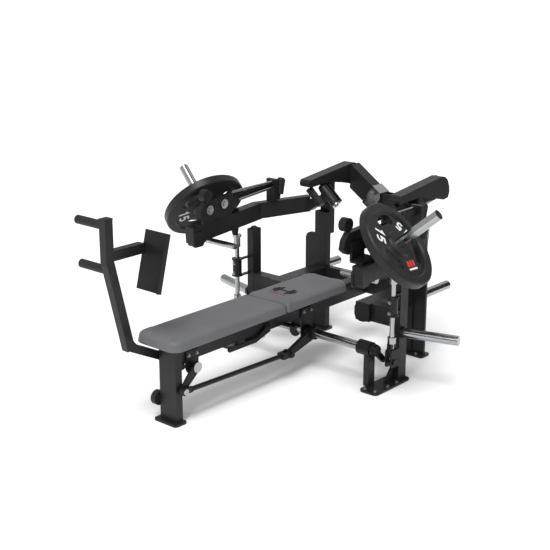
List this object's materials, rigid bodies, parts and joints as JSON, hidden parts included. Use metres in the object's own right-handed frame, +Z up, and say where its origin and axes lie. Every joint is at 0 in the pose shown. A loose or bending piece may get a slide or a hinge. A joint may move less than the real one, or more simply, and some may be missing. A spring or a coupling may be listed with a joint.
{
  "type": "chest press machine",
  "caption": "Lying chest press machine with a padded bench on a low frame, two inclined press arms with weight horns, and a foot lever that lifts both arms off their stops.",
  "frame": {"origin": "on the floor, at the centre of the rubber foot under the foot-end leg", "axes": "+X from the foot end to the rear of the machine, +Z up, +Y across to the side the foot grips are on"},
  "size_m": [2.076, 1.683, 1.009],
  "materials": {
    "frame_paint": "satin charcoal powder coat with a fine orange peel",
    "bracket_paint": "matte dark grey powder coat",
    "chrome_steel": "bright chrome plating",
    "bolt_steel": "zinc plated steel",
    "black_rubber": "matte black rubber",
    "plate_rubber": "matte black rubber over cast iron",
    "leatherette": "grained grey leatherette",
    "board": "dark stained plywood",
    "bronze": "plain bearing bronze"
  },
  "bodies": {
    "frame": {"front_leg": "frame_paint", "seat_rail": "frame_paint", "pad_boards": "board", "long_pad": "leatherette", "head_pad": "leatherette", "lever_brackets": "bracket_paint", "rail_brackets": "bracket_paint", "under_rail_lever": "bracket_paint", "frame_bumpers": "black_rubber", "right_post": "frame_paint", "left_post": "frame_paint", "shaft_bearings": "bracket_paint", "guide_blocks": "frame_paint", "right_side_tube": "frame_paint", "left_side_tube": "frame_paint", "rear_crossbeam": "frame_paint", "right_column": "frame_paint", "left_column": "frame_paint", "head_boxes": "frame_paint", "yoke_tubes": "frame_paint", "yoke_collars": "chrome_steel", "rear_mast": "frame_paint", "pivot_brackets": "bracket_paint", "pivot_axles": "chrome_steel", "storage_horns": "chrome_steel", "frame_bolts": "bolt_steel", "floor_pads": "black_rubber"},
    "foot_lever": {"lever_arm": "frame_paint", "tail_plate": "bracket_paint", "lever_pins": "chrome_steel", "foot_plate": "bracket_paint", "lever_grips": "black_rubber"},
    "rod": {"connecting_rod": "frame_paint"},
    "crank_shaft": {"torsion_shaft": "chrome_steel", "bell_crank": "bracket_paint", "crank_arms": "bracket_paint"},
    "push_right": {"right_push_rod": "chrome_steel", "right_rod_fork": "bracket_paint"},
    "push_left": {"left_push_rod": "chrome_steel", "left_rod_fork": "bracket_paint"},
    "lift_right": {"right_bush": "bronze"},
    "lift_left": {"left_bush": "bronze"},
    "press_right": {"right_arm_hinge": "frame_paint", "right_arm_beam": "frame_paint", "right_carriage": "bracket_paint", "right_guide_rods": "chrome_steel", "right_handle": "chrome_steel", "right_weight_horn": "chrome_steel", "right_arm_rubbers": "black_rubber"},
    "plate_right": {"right_weight_plate": "plate_rubber"},
    "press_left": {"left_arm_hinge": "frame_paint", "left_arm_beam": "frame_paint", "left_carriage": "bracket_paint", "left_guide_rods": "chrome_steel", "left_handle": "chrome_steel", "left_weight_horn": "chrome_steel", "left_arm_rubbers": "black_rubber"},
    "plate_left": {"left_weight_plate": "plate_rubber"}
  },
  "joints": [
    {"name": "foot_lever_pivot", "type": "hinge", "parent": "frame", "child": "foot_lever", "pos_m": [0.105, 0, 0.255], "axis": [0, -1, 0], "range_deg": [0, 15]},
    {"name": "crank_turn", "type": "hinge", "parent": "frame", "child": "crank_shaft", "pos_m": [0.935, 0, 0.203], "axis": [0, -1, 0], "range_deg": [0, 16.3]},
    {"name": "rod_tail_pivot", "type": "hinge", "parent": "foot_lever", "child": "rod", "pos_m": [0.011, -0.076, 0.165], "axis": [0, -1, 0], "range_deg": [-17.4, 0]},
    {"name": "push_rod_right_slide", "type": "slide", "parent": "frame", "child": "push_right", "axis": [0, 0, 1], "range_m": [0, 0.0229]},
    {"name": "push_rod_left_slide", "type": "slide", "parent": "frame", "child": "push_left", "axis": [0, 0, 1], "range_m": [0, 0.0229]},
    {"name": "lift_right_turn", "type": "hinge", "parent": "frame", "child": "lift_right", "pos_m": [1.45, 0.25, 0.8], "axis": [0, 0.7547, 0.6561], "range_deg": [0, 3.95]},
    {"name": "lift_left_turn", "type": "hinge", "parent": "frame", "child": "lift_left", "pos_m": [1.45, -0.25, 0.8], "axis": [0, 0.7547, -0.6561], "range_deg": [0, 3.95]},
    {"name": "press_right_pivot", "type": "hinge", "parent": "lift_right", "child": "press_right", "pos_m": [1.45, 0.25, 0.8], "axis": [0, 0.7547, 0.6561], "range_deg": [0, 26]},
    {"name": "press_left_pivot", "type": "hinge", "parent": "lift_left", "child": "press_left", "pos_m": [1.45, -0.25, 0.8], "axis": [0, 0.7547, -0.6561], "range_deg": [0, 26]},
    {"name": "plate_right_slide", "type": "slide", "parent": "press_right", "child": "plate_right", "axis": [0.1702, 0.7437, 0.6465], "range_m": [0, 0.24]},
    {"name": "plate_left_slide", "type": "slide", "parent": "press_left", "child": "plate_left", "axis": [0.1702, -0.7437, 0.6465], "range_m": [0, 0.24]}
  ],
  "couplings": [
    {"joint": "crank_turn", "follows": "foot_lever_pivot", "ratio": 1.0815},
    {"joint": "rod_tail_pivot", "follows": "foot_lever_pivot", "ratio": -1.1545},
    {"joint": "push_rod_right_slide", "follows": "foot_lever_pivot", "m_per_rad": 0.087023},
    {"joint": "push_rod_left_slide", "follows": "foot_lever_pivot", "m_per_rad": 0.087023},
    {"joint": "lift_right_turn", "follows": "foot_lever_pivot", "ratio": 0.26028},
    {"joint": "lift_left_turn", "follows": "foot_lever_pivot", "ratio": 0.26028}
  ]
}
